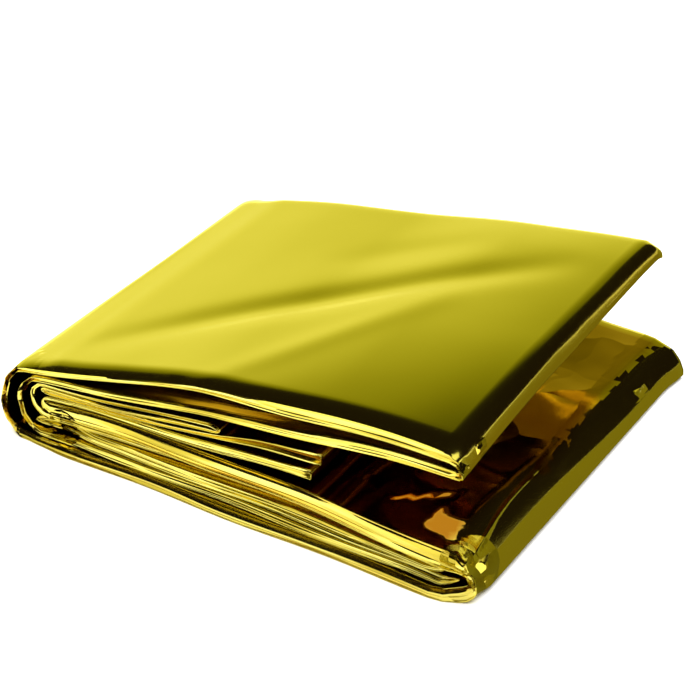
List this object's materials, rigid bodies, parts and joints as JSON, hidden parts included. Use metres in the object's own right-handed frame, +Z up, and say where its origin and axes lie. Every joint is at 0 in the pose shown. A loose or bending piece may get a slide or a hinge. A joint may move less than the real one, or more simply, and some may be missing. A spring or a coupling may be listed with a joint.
{
  "type": "emergency foil blanket",
  "caption": "Gold metallised film blanket folded back and forth into a flat pack, its last fold lifted open like a V.",
  "frame": {"origin": "foot of the middle of the bounding box, on the surface that the pack lies on", "axes": "+X from the folded spine to the open side, +Y along the spine to the back, +Z up"},
  "size_m": [0.1266, 0.1042, 0.038],
  "materials": {
    "gold_film": "mirror-bright gold metallised polyester film with soft creases"
  },
  "bodies": {
    "root": {"foil_blanket": "gold_film"}
  },
  "joints": []
}
